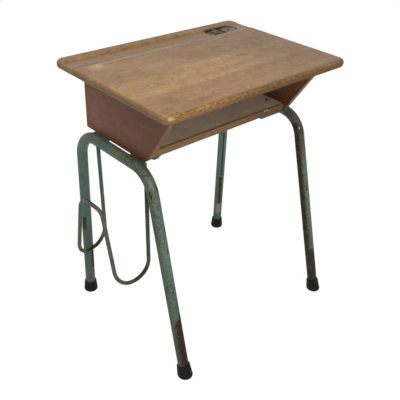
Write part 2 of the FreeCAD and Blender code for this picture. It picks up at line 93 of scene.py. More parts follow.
class Recipe:
    """Node tree of one procedural material.

    ragged is a fine noise round 0 that frays the edges of patches and streaks.
    """

    def __init__(self, name, roughness=0.5, metallic=0.0, specular=0.22):
        self.material = bpy.data.materials.new(name)
        self.material.use_nodes = True
        self.tree = self.material.node_tree
        self.shader = self.tree.nodes["Principled BSDF"]
        self.shader.inputs["Roughness"].default_value = roughness
        self.shader.inputs["Metallic"].default_value = metallic
        self.shader.inputs["Specular IOR Level"].default_value = specular
        coordinates = self.tree.nodes.new("ShaderNodeTexCoord")
        self.place = coordinates.outputs["Object"]
        self.x, self.y, self.z = self.parts(self.place)
        self.facing_x, self.facing_y, self.facing_z = self.parts(coordinates.outputs["Normal"])
        self.ragged = self.maths("SUBTRACT", self.noise(260.0, 5.0, 0.85), 0.5)

    def node(self, kind, **settings):
        """New node of this kind with these settings."""
        made = self.tree.nodes.new(kind)
        for key, value in settings.items():
            setattr(made, key, value)
        return made

    def feed(self, socket, value):
        """Links an output to a socket, or sets the socket to a plain value."""
        if isinstance(value, bpy.types.NodeSocket):
            self.tree.links.new(value, socket)
        else:
            socket.default_value = value

    def parts(self, vector):
        """The three components of a vector."""
        split = self.node("ShaderNodeSeparateXYZ")
        self.feed(split.inputs[0], vector)
        return split.outputs

    def maths(self, operation, *values, clamp=False):
        """Output of a maths node on plain values or outputs."""
        made = self.node("ShaderNodeMath", operation=operation, use_clamp=clamp)
        for socket, value in zip(made.inputs, values):
            self.feed(socket, value)
        return made.outputs[0]

    def vector(self, operation, *values):
        """Vector maths node on plain values or outputs."""
        made = self.node("ShaderNodeVectorMath", operation=operation)
        for socket, value in zip(made.inputs, values):
            self.feed(socket, value)
        return made

    def times(self, *values):
        """Product of all the values."""
        product = values[0]
        for value in values[1:]:
            product = self.maths("MULTIPLY", product, value)
        return product

    def larger(self, first, second):
        return self.maths("MAXIMUM", first, second)

    def inverse(self, value):
        return self.maths("SUBTRACT", 1.0, value)

    def rise(self, value, low, high, bottom=0.0, top=1.0):
        """Smooth step of value from low to high."""
        made = self.node("ShaderNodeMapRange", interpolation_type="SMOOTHSTEP")
        for socket, given in zip(made.inputs, (value, low, high, bottom, top)):
            self.feed(socket, given)
        return made.outputs[0]

    def rise_x(self, start, end, bottom=0.0, top=1.0):
        """Smooth step along X between two places in millimetres from the middle."""
        return self.rise(self.x, at(start, 0, 0).x, at(end, 0, 0).x, bottom, top)

    def rise_y(self, start, end, bottom=0.0, top=1.0):
        """Smooth step along Y between two places in millimetres from the middle."""
        return self.rise(self.y, at(0, start, 0).y, at(0, end, 0).y, bottom, top)

    def band(self, value, centre, half_width, soft):
        """1 within half_width of centre, fading to 0 over soft."""
        distance = self.maths("ABSOLUTE", self.maths("SUBTRACT", value, centre))
        return self.rise(distance, half_width, half_width + soft, 1.0, 0.0)

    def stretched(self, stretch, shift=(0, 0, 0)):
        """Place in the object, scaled and shifted, for a texture to read."""
        mapping = self.node("ShaderNodeMapping")
        self.feed(mapping.inputs["Vector"], self.place)
        mapping.inputs["Scale"].default_value = stretch
        mapping.inputs["Location"].default_value = shift
        return mapping.outputs[0]

    def noise(self, scale, detail=3.0, roughness=0.55, stretch=(1, 1, 1), shift=(0, 0, 0)):
        """Soft random pattern, mostly between 0.25 and 0.75."""
        made = self.node("ShaderNodeTexNoise")
        self.feed(made.inputs["Vector"], self.stretched(stretch, shift))
        made.inputs["Scale"].default_value = scale
        made.inputs["Detail"].default_value = detail
        made.inputs["Roughness"].default_value = roughness
        return made.outputs["Fac"]

    def specks(self, scale, low, high, stretch):
        """Round spots: 1 inside a spot, 0 outside."""
        made = self.node("ShaderNodeTexVoronoi")
        self.feed(made.inputs["Vector"], self.stretched(stretch))
        made.inputs["Scale"].default_value = scale
        return self.rise(made.outputs["Distance"], low, high, 1.0, 0.0)

    def pits(self, scale, share, largest):
        """Round spots of uneven size in a share of the cells: 1 inside a spot, 0 outside."""
        made = self.node("ShaderNodeTexVoronoi")
        self.feed(made.inputs["Vector"], self.place)
        made.inputs["Scale"].default_value = scale
        chance = self.parts(made.outputs["Color"])[0]
        radius = self.rise(chance, 1.0 - share, 1.0, 0.0, largest)
        return self.rise(self.maths("SUBTRACT", radius, made.outputs["Distance"]), 0.0, 0.10)

    def mix(self, factor, first, second, mode="MIX"):
        """Colour that goes from first to second as factor goes from 0 to 1."""
        made = self.node("ShaderNodeMix", data_type="RGBA", blend_type=mode)
        for index, value in ((MIX_FACTOR, factor), (MIX_FIRST, first), (MIX_SECOND, second)):
            self.feed(made.inputs[index], value)
        return made.outputs[MIX_RESULT]

    def tinted(self, base, *display_tint):
        """base multiplied by a tint."""
        return self.mix(1.0, base, colour(*display_tint), "MULTIPLY")

    def cover(self, base, tone, *shares):
        """base with a tone over it, as strong as the product of the shares."""
        return self.mix(self.times(*shares), base, tone)

    def shade(self, base, value, dark, light):
        """base multiplied by a grey between dark and light as value goes from 0.25 to 0.75."""
        grey = self.node("ShaderNodeMapRange")
        for socket, given in zip(grey.inputs, (value, 0.25, 0.75, dark, light)):
            self.feed(socket, given)
        combined = self.node("ShaderNodeCombineColor")
        for socket in combined.inputs:
            self.feed(socket, grey.outputs[0])
        return self.mix(1.0, base, combined.outputs[0], "MULTIPLY")

    def inside(self, distance, ragged):
        """1 where distance is under 1, 0 outside, with an edge frayed by ragged."""
        frayed = self.maths("MULTIPLY_ADD", self.ragged, ragged * 4, distance)
        return self.rise(frayed, 0.75, 1.15, 1.0, 0.0)

    def patch(self, centre, radii, ragged=0.6):
        """Ragged-edged spot: 1 inside the ellipsoid with these radii round centre, 0 outside."""
        scaled = self.vector("DIVIDE", self.vector("SUBTRACT", self.place, centre).outputs[0], radii)
        length = self.vector("LENGTH", scaled.outputs[0]).outputs["Value"]
        return self.inside(length, ragged)

    def reach(self, start, end):
        """Distance from the line between two points."""
        run = end - start
        offset = self.vector("SUBTRACT", self.place, start).outputs[0]
        along = self.vector("DOT_PRODUCT", offset, run / run.length_squared).outputs["Value"]
        share = self.maths("ADD", along, 0.0, clamp=True)
        scaled_run = self.node("ShaderNodeVectorMath", operation="SCALE")
        scaled_run.inputs[0].default_value = run
        self.feed(scaled_run.inputs["Scale"], share)
        across = self.vector("SUBTRACT", offset, scaled_run.outputs[0]).outputs[0]
        return self.vector("LENGTH", across).outputs["Value"]

    def streak(self, start, end, radius, ragged=0.6):
        """Ragged-edged streak: 1 within radius of the line from start to end, 0 outside."""
        return self.inside(self.maths("DIVIDE", self.reach(start, end), radius), ragged)

    def finish(self, base, roughness=None, height=None, bump=0.2, distance=0.0004):
        """Feeds colour, roughness and bump into the shader and returns the material."""
        self.feed(self.shader.inputs["Base Color"], base)
        if roughness is not None:
            self.feed(self.shader.inputs["Roughness"], roughness)
        if height is not None:
            made = self.node("ShaderNodeBump")
            made.inputs["Strength"].default_value = bump
            made.inputs["Distance"].default_value = distance
            self.feed(made.inputs["Height"], height)
            self.feed(self.shader.inputs["Normal"], made.outputs[0])
        return self.material


# ---------------------------------------------------------------- wood

# Stretches of a texture that draw its grain out along X or Y
LONG_X = (0.05, 1.0, 1.0)
LONG_Y = (1.0, 0.05, 1.0)
PLIES = 5
# Places along X of two chips in the shelf's front edge, in millimetres
SHELF_CHIPS = (153, 163)
# Pale lines between the boards: Y, the X where they are strongest and weakest, and strength
GLUE_LINES = ((-100, -200, 230, 0.55), (-12, -60, 260, 0.4))
# Ends of the diagonal along which the top gets darker as painted shade, in millimetres
SHADE_DIAGONAL_ENDS = ((-200, -150), (200, 150))

# Knocks of the writing surface: x, y and radius in millimetres
PALE_KNOCKS = ((-214.7, -61.1, 4.2), (-196.3, -170.4, 3.0), (-177.0, -87.4, 2.2), (-141.0, -138.0, 2.4))
DARK_KNOCKS = ((-150.0, -57.0, 3.0), (-160.8, -18.5, 2.4), (-283.1, -192.4, 2.6), (-276.9, -191.1, 2.2),
               (-274.1, -203.0, 2.6), (-262.0, -204.0, 2.4), (-92.0, -107.0, 3.0), (-199.0, -176.0, 2.6),
               (10.0, -107.0, 2.4), (-262.0, -172.0, 2.2), (-268.0, -179.0, 2.6), (-256.0, -178.0, 2.0))
DARK_KNOCK_SHAPE = (1.3, 1.0, 1.0)


def board_tones(paint):
    """Three glued boards along X, with pale lines between them, broad stains and mottling."""
    wander = paint.times(paint.maths("SUBTRACT", paint.noise(2.5, 1.0), 0.5), 0.012)
    across = paint.maths("ADD", paint.y, wander)
    front_board = paint.rise(across, at(0, -108, 0).y, at(0, -100, 0).y, 1.0, 0.0)
    rear_board = paint.rise(across, at(0, -18, 0).y, at(0, -8, 0).y)
    base = paint.mix(front_board, colour(197, 157, 112), colour(183, 142, 103))
    base = paint.mix(rear_board, base, colour(178, 141, 107))
    rightwards = paint.rise_x(-60, 290)
    base = paint.cover(base, colour(160, 130, 102), rightwards, 0.78)
    rearwards = paint.rise_y(60, 120)
    base = paint.cover(base, colour(168, 141, 111), rearwards, 0.6)
    smear = paint.patch(at(122, 147, TOP_Z), (0.020, 0.010, 0.02), 0.6)
    base = paint.cover(base, colour(176, 160, 116), smear, 0.5)
    sunny = paint.patch(at(-106, 12, TOP_Z), (0.075, 0.036, 0.03), 0.5)
    base = paint.cover(base, colour(206, 168, 126), sunny, 0.5)
    purple = paint.patch(at(-163, 105, TOP_Z), (0.024, 0.020, 0.03), 0.4)
    base = paint.cover(base, colour(142, 110, 90), purple, 0.35)
    for line_y, strong_x, weak_x, strength in GLUE_LINES:
        line = paint.band(across, at(0, line_y, 0).y, 0.005, 0.014)
        rising = paint.rise_x(strong_x - 110, strong_x)
        falling = paint.rise_x(strong_x, weak_x, 1.0, 0.35)
        base = paint.cover(base, colour(212, 174, 124), line, rising, falling, strength)
    base = paint.shade(base, paint.noise(6.0, 5.0, 0.62, (0.55, 1.3, 1.0)), 0.80, 1.18)
    base = paint.shade(base, paint.noise(38.0, 4.0, 0.65, (0.30, 1.4, 1.0)), 0.88, 1.12)
    return base


def wear_of_the_face(paint, base):
    """Grain, pores, knocks and stains of the writing surface."""
    grain = paint.noise(420.0, 3.0, 0.6, (0.045, 1.0, 1.0))
    base = paint.shade(base, grain, 0.84, 1.14)
    blotches = paint.noise(150.0, 4.0, 0.75, (0.6, 1.0, 1.0), (5.0, 1.0, 0.0))
    base = paint.shade(base, blotches, 0.84, 1.15)
    pores = paint.rise(paint.noise(800.0, 1.0, 0.5, (0.10, 1.0, 1.0), (3.1, 0.7, 0)), 0.62, 0.72)
    base = paint.cover(base, colour(104, 76, 52), pores, 0.6)
    flecks = paint.rise(paint.noise(460.0, 2.0, 0.6, (0.5, 1.0, 1.0), (9.0, 4.0, 0.0)), 0.60, 0.72)
    base = paint.cover(base, colour(112, 82, 58), flecks, 0.45)
    dents = paint.specks(24.0, 0.040, 0.065, (0.8, 1.0, 0.0))
    base = paint.cover(base, colour(86, 60, 42), dents, 0.6)
    stain = paint.patch(at(-234, -150, TOP_Z), (0.022, 0.017, 0.03), 0.5)
    base = paint.cover(base, colour(118, 104, 78), stain, 0.34)
    for x, y, radius in DARK_KNOCKS:
        spot = paint.patch(at(x, y, TOP_Z), Vector(DARK_KNOCK_SHAPE) * radius / 1000, 0.3)
        base = paint.cover(base, colour(92, 62, 44), spot, 0.6)
    for x, y, radius in PALE_KNOCKS:
        spot = paint.patch(at(x, y, TOP_Z), Vector((1, 1, 1)) * radius / 1000, 0.3)
        base = paint.cover(base, colour(214, 196, 168), spot, 0.75)
    return base, grain


def groove_tones(paint, base, streaks):
    """Golden rear wall, grey floor, worn front slope, painted shadow by both walls and the inkwell."""
    below = paint.rise(paint.z, TOP_HIGH.z - 0.0030, TOP_HIGH.z - 0.0020, 1.0, 0.0)
    floor = paint.times(below, paint.rise(paint.facing_z, 0.9, 0.99),
                        paint.rise(paint.z, TOP_HIGH.z - 0.006, TOP_HIGH.z - 0.005))
    base = paint.cover(base, colour(163, 131, 102), floor, 0.7)
    slope = paint.band(paint.y, GROOVE_FRONT - GROOVE_SLOPE / 2, 0.004, 0.004)
    leftwards = paint.rise_x(0, 200, 1.0, 0.3)
    worn = paint.times(slope, leftwards,
                       paint.rise(paint.noise(20.0, 3.0, 0.6, (0.5, 1, 1)), 0.36, 0.56, 0.2, 1.0))
    base = paint.cover(base, colour(212, 182, 148), worn, 0.65)
    pale = paint.patch(at(-250, 102, TOP_Z), (0.024, 0.021, 0.02), 0.7)
    core = paint.patch(at(-244, 106, TOP_Z), (0.015, 0.010, 0.02), 0.7)
    bleached = paint.maths("MULTIPLY_ADD", core, 0.45, paint.times(pale, 0.40))
    base = paint.mix(bleached, base, colour(226, 190, 144))
    scrape = paint.streak(at(-212, 120, TOP_Z), at(-158, 119, TOP_Z), 0.0032, 0.5)
    base = paint.cover(base, colour(224, 194, 158), scrape, 0.6)
    # Dark broken line on the floor behind the front slope, fading to the right: painted shadow of the
    # front wall
    broken = paint.rise(paint.noise(30.0, 2.0, 0.5, (1, 0, 0)), 0.35, 0.5, 0.45, 1.0)
    fading = paint.times(paint.rise_x(-200, -110, 0.95, 0.15), broken)
    slope_foot_shadow = paint.times(paint.band(paint.y, GROOVE_FRONT + 0.0024, 0.0022, 0.0016), fading)
    base = paint.mix(slope_foot_shadow, base, colour(74, 54, 40))
    # Brown band on the floor at the foot of the rear wall: painted shade
    foot = paint.band(paint.y, GROOVE_REAR - 0.0055, 0.0025, 0.003)
    foot = paint.times(foot, paint.rise(streaks, 0.35, 0.6, 0.25, 0.1), below)
    base = paint.mix(foot, base, colour(132, 100, 62))
    strip = paint.rise(paint.y, GROOVE_REAR + 0.004, GROOVE_REAR + 0.012)
    base = paint.cover(base, colour(144, 106, 78), strip, 0.5)
    wall = paint.times(paint.band(paint.y, GROOVE_REAR + 0.0022, 0.0050, 0.0022),
                       paint.rise(paint.z, TOP_HIGH.z - 0.0048, TOP_HIGH.z - 0.0043))
    gold = paint.mix(paint.rise(paint.noise(150.0, 4.0, 0.75, (0.4, 0.4, 0.4)), 0.36, 0.64),
                     colour(130, 96, 48), colour(178, 138, 74))
    base = paint.cover(base, gold, wall, paint.rise_x(70, 190, 0.8, 0.45))
    # Dark band on the wood round the rear of the inkwell tray: painted shadow
    rim = paint.band(paint.reach(*TRAY_LINE), TRAY_REACH + 0.0012, 0.0018, 0.0012)
    behind = paint.rise(paint.y, TRAY_LINE[0].y - 0.002, TRAY_LINE[0].y + 0.012, 0.1, 0.75)
    return paint.cover(base, colour(48, 38, 30), rim, behind, below)


def edge_tones(paint, base, streaks):
    """Rounded edges: golden varnish at the front, brown elsewhere, with painted light and shade."""
    along_y = paint.larger(paint.maths("ABSOLUTE", paint.facing_y), 0.001)
    reach = paint.maths("ADD", paint.maths("ABSOLUTE", paint.facing_x), along_y)
    frontness = paint.rise(paint.maths("DIVIDE", paint.times(paint.facing_y, -1.0), reach), 0.35, 0.65)
    rearness = paint.rise(paint.maths("DIVIDE", paint.facing_y, reach), 0.4, 0.7)
    turned = paint.larger(paint.rise(paint.facing_z, 0.55, 0.93, 1.0, 0.0),
                          paint.times(frontness, paint.rise(paint.facing_z, 0.86, 0.998, 1.0, 0.0)))
    in_groove = paint.times(paint.band(paint.y, GROOVE_REAR, 0.006, 0.003),
                            paint.rise(paint.maths("ABSOLUTE", paint.facing_x), 0.15, 0.35, 1.0, 0.0))
    turned = paint.times(turned, paint.inverse(in_groove))
    upright = paint.rise(paint.facing_z, 0.0, 0.50, 1.0, 0.0)
    downward = paint.rise(paint.facing_z, -0.75, -0.10, 1.0, 0.0)

    speckle = paint.noise(240.0, 4.0, 0.8, (0.45, 1.0, 1.0))
    gold = paint.mix(paint.rise(speckle, 0.36, 0.64), colour(100, 73, 40), colour(170, 132, 82))
    # Front edge darker towards its underside: painted shade of the rounded edge
    gold = paint.mix(paint.rise(paint.facing_z, -0.3, 0.7, 0.75, 0.0), gold, colour(114, 80, 42))
    gold = paint.mix(paint.rise_x(-200, 20, 0.0, 0.9), gold, paint.tinted(gold, 196, 186, 170))
    ticks = paint.times(paint.band(paint.facing_z, 0.90, 0.04, 0.06),
                        paint.rise(paint.noise(90.0, 2.0, 0.6, (1, 0.1, 0.1)), 0.47, 0.56))
    gold = paint.cover(gold, colour(84, 60, 38), ticks, 0.7)

    # Ends warmer on the upper arris and darker brown where upright: painted shade of the rounded edge
    warm = paint.mix(paint.rise(streaks, 0.3, 0.7), colour(132, 98, 66), colour(158, 122, 84))
    upright_shade_tone = paint.mix(paint.rise(paint.noise(60.0, 4.0, 0.7, (1.0, 0.6, 1.0)), 0.35, 0.65),
                      colour(110, 86, 62), colour(134, 106, 80))
    end = paint.mix(upright, warm, upright_shade_tone)
    # Pale grey on the lower arris of the ends: painted light from the floor, stronger towards the rear
    floor_light_share = paint.rise_y(-150, 100, 0.2, 0.8)
    end = paint.cover(end, colour(150, 138, 122), downward, floor_light_share)
    rear = paint.mix(paint.rise(streaks, 0.3, 0.7), colour(122, 104, 86), colour(148, 126, 104))
    side = paint.mix(rearness, paint.mix(frontness, end, gold), rear)
    base = paint.mix(turned, base, side)
    boundary = paint.times(paint.band(paint.facing_z, 0.965, 0.02, 0.03),
                           paint.rise(streaks, 0.40, 0.55, 0.15, 0.6))
    leftness = paint.rise(paint.facing_x, -0.35, -0.15, 1.0, 0.0)
    base = paint.cover(base, colour(210, 174, 128), boundary, leftness)

    broken = paint.rise(paint.noise(24.0, 3.0, 0.6, (1, 1, 1), (2.0, 0.0, 0.0)), 0.44, 0.58, 0.35, 1.0)
    handled = paint.times(paint.streak(at(-150, -207, TOP_Z), at(292, -207, TOP_Z), 0.0068, 0.6), broken)
    darker_right = paint.rise_x(-170, 200, 0.2, 0.85)
    base = paint.cover(base, colour(122, 102, 78), handled, darker_right)
    # Pale spot on the front left corner: a painted highlight
    glint = paint.patch(at(-281, -208, 710), (0.0075, 0.0050, 0.005), 0.5)
    base = paint.cover(base, colour(222, 202, 180), glint, 0.38)
    underside = paint.rise(paint.facing_z, -0.98, -0.85, 1.0, 0.0)
    return paint.mix(underside, base, colour(128, 100, 74))


def rearward_painted_shade(paint, base):
    """The flat of the top with painted shade, a little darker towards its rear right corner."""
    near, far = (at(x, y, 0) for x, y in SHADE_DIAGONAL_ENDS)
    diagonal = paint.rise(paint.maths("ADD", paint.x, paint.y), near.x + near.y, far.x + far.y)
    return paint.tinted(paint.shade(base, diagonal, 0.92, 0.85), 254, 252, 245)


def top_wood():
    """Worn varnished beech: boards, groove, rounded edges."""
    paint = Recipe("top_wood", specular=0.15)
    base, grain = wear_of_the_face(paint, board_tones(paint))
    streaks = paint.noise(110.0, 5.0, 0.7, (0.30, 0.6, 0.9))
    base = groove_tones(paint, base, streaks)
    base = edge_tones(paint, rearward_painted_shade(paint, base), streaks)
    roughness = paint.rise(paint.noise(35.0, 4.0, 0.6), 0.3, 0.7, 0.36, 0.58)
    roughness = paint.larger(roughness, paint.rise(paint.facing_z, -0.6, 0.1, 0.95, 0.0))
    return paint.finish(base, roughness, grain, 0.25, 0.0003)


def ply_edge(paint, across, low, high, light, dark):
    """Stripes of plywood seen edge on, across the thickness from low to high."""
    phase = paint.maths("DIVIDE", paint.maths("SUBTRACT", across, low), (high - low) / PLIES)
    odd = paint.maths("PINGPONG", phase, 1.0)
    wobble = paint.times(paint.maths("SUBTRACT", paint.noise(90.0, 3.0), 0.5), 1.1)
    return paint.mix(paint.rise(paint.maths("ADD", odd, wobble), 0.30, 0.70), light, dark)


def stained_ply(name, face, grain_stretch, edge_axis, low, high, edge_light, edge_dark,
                spread=(0.84, 1.14)):
    """Plywood with a stained face and a layered edge, from low to high along edge_axis (0, 1 or 2).

    Returns the recipe as well, for what else a board has. spread is the shading of its face.
    """
    paint = Recipe(name, roughness=0.55, specular=0.14)
    facing = paint.maths("ABSOLUTE", (paint.facing_x, paint.facing_y, paint.facing_z)[edge_axis])
    base = paint.shade(face, paint.noise(6.0, 4.0, 0.6), *spread)
    grain = paint.noise(330.0, 3.0, 0.65, grain_stretch)
    base = paint.shade(base, grain, 0.84, 1.12)
    mild_stretch = tuple(max(share, 0.35) for share in grain_stretch)
    base = paint.shade(base, paint.noise(55.0, 4.0, 0.65, mild_stretch), 0.88, 1.10)
    fleck_stretch = tuple(0.3 if share < 1 else 1.0 for share in grain_stretch)
    flecks = paint.rise(paint.noise(420.0, 1.0, 0.5, fleck_stretch), 0.62, 0.72)
    base = paint.cover(base, tuple(channel * 0.45 for channel in face[:3]) + (1.0,), flecks, 0.5)
    edge = ply_edge(paint, (paint.x, paint.y, paint.z)[edge_axis], low, high, edge_light, edge_dark)
    edge = paint.shade(edge, paint.noise(150.0, 3.0, 0.6, grain_stretch), 0.80, 1.18)
    base = paint.mix(paint.rise(facing, 0.5, 0.7, 1.0, 0.0), base, edge)
    return paint, base, grain


def side_plywood(name, low, high, inward):
    """Red-brown stained side panel, redder along the bottom and darker towards the front.

    inward is the way to the desk's middle, +1 or -1 along X.
    """
    paint, base, grain = stained_ply(name, colour(124, 87, 68), LONG_Y, 0, low.x, high.x,
                                     colour(150, 112, 58), colour(114, 82, 42), (0.90, 1.10))
    inside = paint.rise(paint.times(paint.facing_x, inward), 0.5, 0.9)
    # Inner face made lighter towards the top as painted light under the top's overhang, and mottled
    redder = paint.shade(base, paint.rise(paint.z, low.z, high.z, 0.25, 0.75), 0.85, 1.6)
    redder = paint.shade(redder, paint.noise(60.0, 4.0, 0.75), 0.58, 1.36)
    base = paint.mix(inside, base, paint.tinted(redder, 234, 222, 188))
    base = paint.shade(base, paint.noise(75.0, 4.0, 0.7), 0.90, 1.10)
    low_down = paint.rise(paint.z, low.z + 0.002, low.z + 0.030, 1.0, 0.0)
    base = paint.cover(base, colour(104, 62, 42), low_down, 0.5)
    forward = paint.rise(paint.y, low.y + 0.08, low.y + 0.30, 0.25, 0.75)
    base = paint.shade(base, forward, 0.67, 1.0)
    stain = paint.times(paint.rise(paint.z, high.z - 0.045, high.z),
                        paint.rise(paint.noise(9.0, 3.0), 0.35, 0.6))
    base = paint.cover(base, colour(104, 84, 66), stain, 0.4)
    roughness = paint.rise(paint.noise(30.0, 3.0), 0.3, 0.7, 0.45, 0.62)
    return paint.finish(base, roughness, grain, 0.2, 0.0003)


def shelf_plywood():
    """Grey-brown shelf with a dark line behind its front edge, that edge darker to the right, and two
    chips.
    """
    paint, base, grain = stained_ply("shelf_plywood", colour(184, 166, 142), LONG_X, 2, SHELF_LOW.z,
                                     SHELF_HIGH.z, colour(132, 100, 66), colour(116, 85, 53))
    rightwards = paint.rise(paint.x, SHELF_LOW.x, SHELF_HIGH.x, 0.25, 0.75)
    base = paint.shade(base, rightwards, 1.02, 0.86)
    base = paint.shade(base, paint.noise(110.0, 4.0, 0.75, (0.35, 1.0, 1.0), (4.0, 2.0, 0.0)), 0.86, 1.12)
    # Dark line on top of the shelf just behind its front edge: painted shadow
    on_top = paint.rise(paint.z, SHELF_HIGH.z - 0.0016, SHELF_HIGH.z - 0.0008)
    line = paint.times(paint.rise(paint.y, SHELF_LOW.y + 0.004, SHELF_LOW.y + 0.009, 1.0, 0.0), on_top)
    base = paint.cover(base, colour(92, 66, 48), line, 0.8)
    edge_mark = paint.times(paint.rise(paint.facing_y, -0.7, -0.5, 1.0, 0.0),
                         paint.rise_x(-60, 200, 0.0, 0.6))
    base = paint.mix(edge_mark, base, colour(84, 60, 42))
    for x in SHELF_CHIPS:
        place = Vector((at(x, 0, 0).x, SHELF_LOW.y, SHELF_HIGH.z - 0.002))
        chip = paint.patch(place, (0.003, 0.003, 0.0022), 0.3)
        base = paint.cover(base, colour(206, 180, 140), chip, 0.6)
    roughness = paint.rise(paint.noise(30.0, 3.0), 0.3, 0.7, 0.45, 0.62)
    return paint.finish(base, roughness, grain, 0.2, 0.0003)


def thin_plywood():
    """Plain brown back panel."""
    low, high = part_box("back_panel")
    paint, base, grain = stained_ply("thin_plywood", colour(132, 104, 82), LONG_X, 1, low.y, high.y,
                                     colour(150, 114, 74), colour(112, 80, 50))
    return paint.finish(base, None, grain, 0.2, 0.0003)


def batten_wood(name, stretch):
    """Bare softwood batten."""
    paint = Recipe(name, roughness=0.6)
    grain = paint.noise(260.0, 3.0, 0.6, stretch)
    base = paint.shade(colour(150, 120, 84), paint.noise(10.0, 4.0, 0.6, stretch), 0.8, 1.1)
    base = paint.shade(base, grain, 0.86, 1.1)
    return paint.finish(base, None, grain, 0.25, 0.0003)


# ---------------------------------------------------------------- metal and rubber

RUST_DARK = colour(36, 29, 24)
RUST_BROWN = colour(62, 45, 34)
GREEN = colour(86, 102, 86)
BLUE_GREEN = colour(73, 98, 89)
OLIVE = colour(91, 92, 66)
GREY_GREEN = colour(120, 126, 106)
PALE_PAINT = colour(130, 128, 96)
GLINT = colour(190, 190, 182)
HUMP_BROWN = colour(102, 92, 78)
DULL_GREY = colour(76, 73, 64)
DARK_GREY_OLIVE = colour(60, 58, 46)
SOOT_GREEN = colour(48, 51, 37)
OLIVE_DARK = colour(80, 81, 64)
TEAL = colour(88, 113, 104)

# Bare rusty streaks: start, end and radius in millimetres
LEFT_RUST = (
    ((-273.0, -127.0, 497), (-273.0, -128.0, 492), 2.4),
    ((-271.5, -131.0, 488), (-272.0, -132.0, 483), 2.8),
    ((-274.0, -134.0, 480), (-274.0, -135.0, 474), 2.0),
    ((-258.0, -129.0, 516), (-253.5, -134.0, 497), 4.2),
    ((-252.0, -140.0, 480), (-249.5, -158.0, 410), 3.2),
    ((-249.0, -158.0, 410), (-247.0, -176.0, 345), 5.5),
    ((-276.0, -122.0, 480), (-279.0, -205.0, 190), 2.2),
    ((-256.0, -225.0, 176), (-259.0, -231.0, 152), 6.0),
    ((-258.0, -230.0, 156), (-259.0, -268.0, 20), 16.0),
    ((-274.0, 165.8, 268), (-274.8, 167.6, 232), 5.4),
    ((-256.5, 163.0, 165), (-260.0, 162.0, 95), 4.5),
)
RIGHT_RUST = (
    ((246.5, -118.0, 505), (248.5, -166.0, 330), 12.0),
    ((248.5, -166.0, 330), (249.0, -222.0, 130), 13.0),
    ((263.0, -226.0, 118), (264.0, -258.0, 30), 24.0),
    ((252.0, -131.0, 502), (253.0, -134.0, 494), 7.0),
    ((256.4, -178.0, 345), (256.8, -183.0, 325), 2.0),
    ((254.1, 161.3, 374), (256.7, 161.7, 216), 2.6),
    ((254.5, 163.0, 205), (257.0, 163.0, 108), 5.5),
    ((261.4, 161.7, 61), (262.0, 161.7, 57), 3.2),
)
RACK_RUST = (
    ((-356.5, -30.0, 444), (-356.5, 20.0, 444), 2.0),
    ((-340.0, 66.0, 241), (-285.0, 77.0, 245), 11.0),
    ((-360.0, 56.0, 262), (-345.0, 62.0, 245), 7.0),
    ((-340.0, -108.0, 238), (-300.0, -108.0, 238), 4.0),
    ((-300.0, -106.5, 241), (-263.0, -106.5, 262), 9.0),
    ((-264.5, -104.0, 300), (-264.0, -99.0, 500), 2.2),
)


def spotted(paint):
    """Dense chips and pits of old paint, 1 where the metal is bare, and the fine noise behind them."""
    fine = paint.noise(360.0, 4.0, 0.8)
    zones = paint.noise(19.0, 3.0, 0.6, (1, 1, 0.6), (7.0, 3.0, 0.0))
    spotting = paint.maths("MULTIPLY_ADD", zones, 0.50, paint.times(fine, 0.80))
    chips = paint.rise(spotting, 0.715, 0.77)
    pits = paint.times(paint.larger(paint.pits(135.0, 0.95, 0.40), paint.pits(230.0, 0.80, 0.46)),
                       paint.rise(zones, 0.34, 0.56, 0.55, 1.0))
    return paint.larger(chips, pits), fine


def leg_side_shade(paint, base, side_shade):
    """Front leg's painted shade, olive on its rear left and brown on its front right, by the given share.
    """
    front_leg = paint.rise_y(-120, -40, side_shade, 0.0)
    # Colour chosen by the way the surface faces: painted shade, darker and olive on the rear left side
    rear_left = paint.maths("MULTIPLY_ADD", paint.facing_y, 0.69, paint.times(paint.facing_x, -0.72))
    base = paint.cover(base, OLIVE_DARK, paint.rise(rear_left, -0.4, 0.6), front_leg, 0.6)
    shaded_side = paint.times(paint.rise(rear_left, 0.35, 1.0), front_leg)
    base = paint.shade(base, paint.maths("MULTIPLY_ADD", shaded_side, -0.5, 0.75), 0.62, 1.0)
    return paint.cover(base, RUST_BROWN, paint.rise(rear_left, -1.0, -0.84, 1.0, 0.0), front_leg, 0.7)


def rusty_metal(paint, low_rust):
    """Bare metal, redder and darker near the floor where low_rust is under 1."""
    metal = paint.mix(paint.rise(paint.noise(75.0, 4.0, 0.7), 0.42, 0.66), RUST_DARK, RUST_BROWN)
    if low_rust < 1:
        reddish = paint.tinted(metal, *(round(255 * low_rust * share) for share in (1.0, 0.80, 0.66)))
        metal = paint.mix(paint.rise(paint.z, 0.12, 0.19, 1.0, 0.0), metal, reddish)
    return metal


